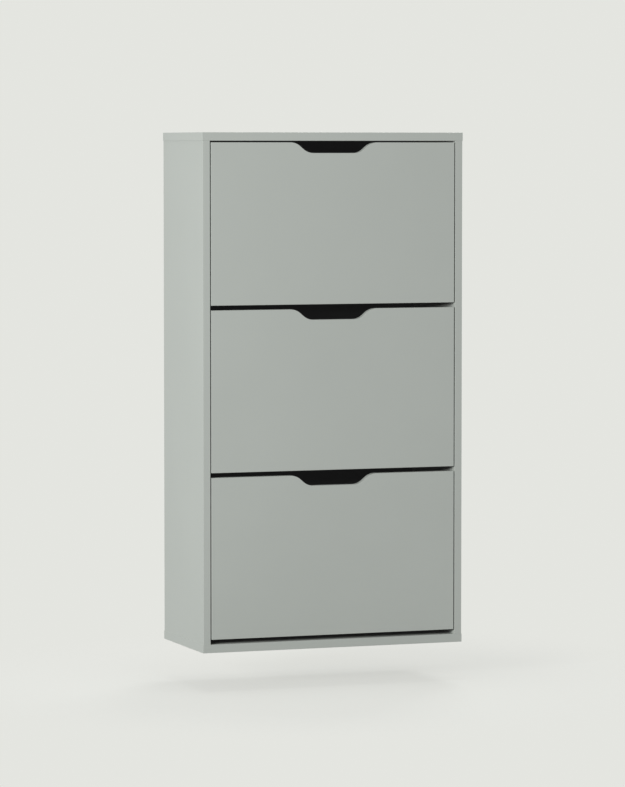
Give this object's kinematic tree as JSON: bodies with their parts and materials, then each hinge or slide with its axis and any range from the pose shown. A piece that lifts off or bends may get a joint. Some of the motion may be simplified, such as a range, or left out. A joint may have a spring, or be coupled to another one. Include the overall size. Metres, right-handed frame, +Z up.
{
  "type": "shoe cabinet",
  "caption": "Slim wall cabinet for shoes with inset tilt-out flaps, each with a finger cut-out and a double-row rack on side cheeks.",
  "frame": {"origin": "middle of the bottom board's underside, which is the bottom centre of the bounding box", "axes": "+X to the cabinet's right-hand end as seen from the front, +Y to the back, towards the wall, +Z up; the flaps face -Y"},
  "size_m": [0.6, 0.275, 1.12],
  "materials": {
    "sage_board": "fibreboard, matt sage-green lacquer",
    "back_board": "thin hardboard, black face, bare brown back",
    "rack_board": "thin hardboard, black laminate",
    "black_plastic": "moulded, fine texture",
    "steel": "bright zinc plate",
    "zinc": "die-cast, as cast",
    "beech": "fluted, unfinished",
    "rubber": "matt"
  },
  "bodies": {
    "cabinet": {"top_panel": "sage_board", "bottom_panel": "sage_board", "left_side": "sage_board", "right_side": "sage_board", "back_panel": "back_board", "upper_rail": "sage_board", "lower_rail": "sage_board", "cam_locks": "zinc", "cam_bolts": "steel", "dowels": "beech", "pivot_bushes": "black_plastic", "stop_pins": "steel", "stop_sleeves": "rubber"},
    "bottom_flap": {"bottom_flap_front": "sage_board", "bottom_left_cheek": "black_plastic", "bottom_right_cheek": "black_plastic", "bottom_front_floor": "rack_board", "bottom_divider": "rack_board", "bottom_rear_floor": "rack_board", "bottom_rear_panel": "rack_board", "bottom_pivot_pins": "steel", "bottom_cheek_screws": "steel"},
    "middle_flap": {"middle_flap_front": "sage_board", "middle_left_cheek": "black_plastic", "middle_right_cheek": "black_plastic", "middle_front_floor": "rack_board", "middle_divider": "rack_board", "middle_rear_floor": "rack_board", "middle_rear_panel": "rack_board", "middle_pivot_pins": "steel", "middle_cheek_screws": "steel"},
    "top_flap": {"top_flap_front": "sage_board", "top_left_cheek": "black_plastic", "top_right_cheek": "black_plastic", "top_front_floor": "rack_board", "top_divider": "rack_board", "top_rear_floor": "rack_board", "top_rear_panel": "rack_board", "top_pivot_pins": "steel", "top_cheek_screws": "steel"}
  },
  "joints": [
    {"name": "bottom_flap_tilt", "type": "hinge", "parent": "cabinet", "child": "bottom_flap", "pos_m": [0, -0.1135, 0.0585], "axis": [1, 0, 0], "range_deg": [0, 48]},
    {"name": "middle_flap_tilt", "type": "hinge", "parent": "cabinet", "child": "middle_flap", "pos_m": [0, -0.1135, 0.41867], "axis": [1, 0, 0], "range_deg": [0, 48]},
    {"name": "top_flap_tilt", "type": "hinge", "parent": "cabinet", "child": "top_flap", "pos_m": [0, -0.1135, 0.77883], "axis": [1, 0, 0], "range_deg": [0, 48]}
  ]
}
